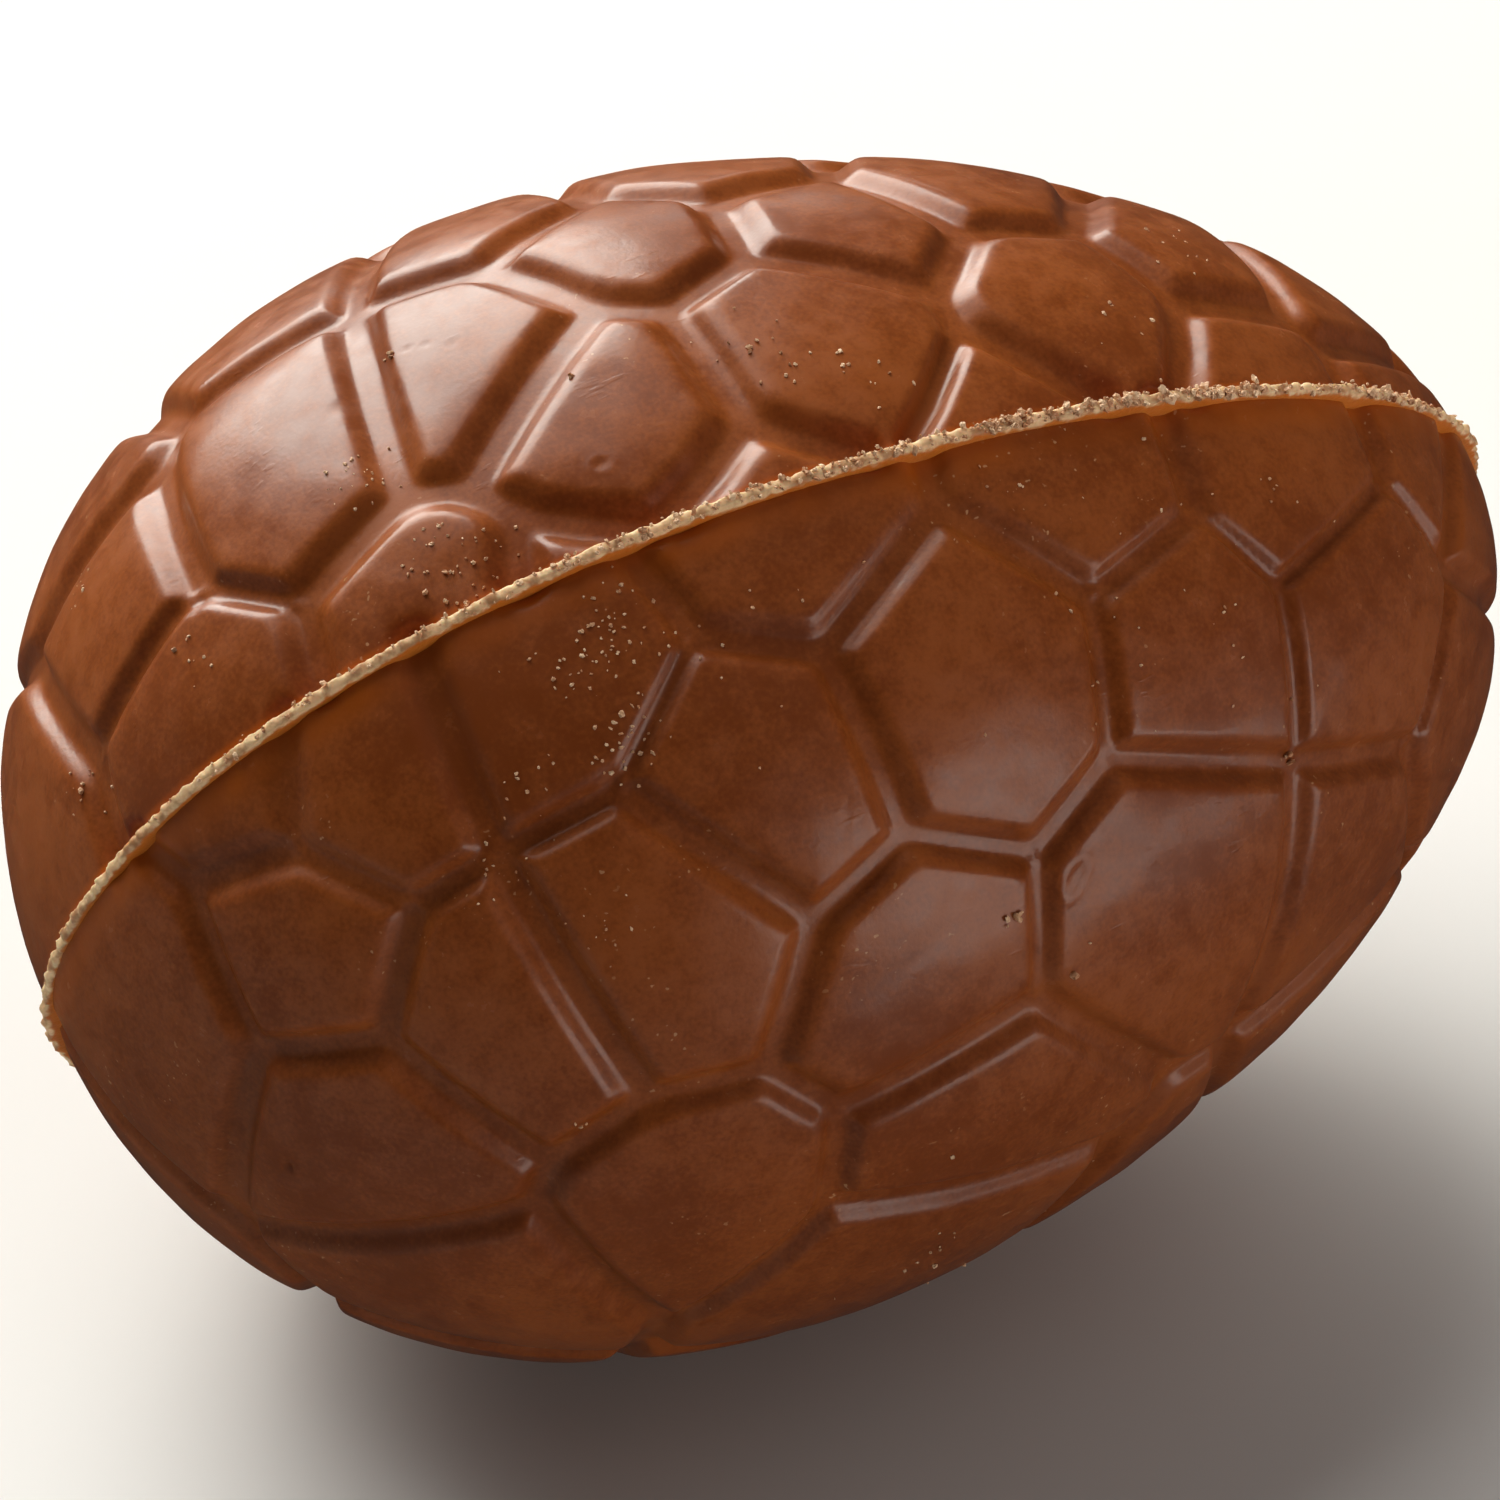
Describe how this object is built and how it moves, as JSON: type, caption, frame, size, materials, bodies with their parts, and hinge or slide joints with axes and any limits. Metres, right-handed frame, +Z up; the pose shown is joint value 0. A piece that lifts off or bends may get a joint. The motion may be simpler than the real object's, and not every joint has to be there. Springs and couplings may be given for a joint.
{
  "type": "chocolate egg",
  "caption": "Moulded milk chocolate egg lying on its side, with a thin fin round its seam and many-sided plates divided by rounded grooves all over.",
  "frame": {"origin": "bottom centre of the egg's box, in the plane of the small flat that it rests on", "axes": "+X along the long axis towards the narrow end, +Z up, with the seam's front edge on the -Y side"},
  "size_m": [0.0504, 0.0372, 0.0366],
  "materials": {
    "milk_chocolate": "satin"
  },
  "bodies": {
    "root": {"egg": "milk_chocolate"}
  },
  "joints": []
}
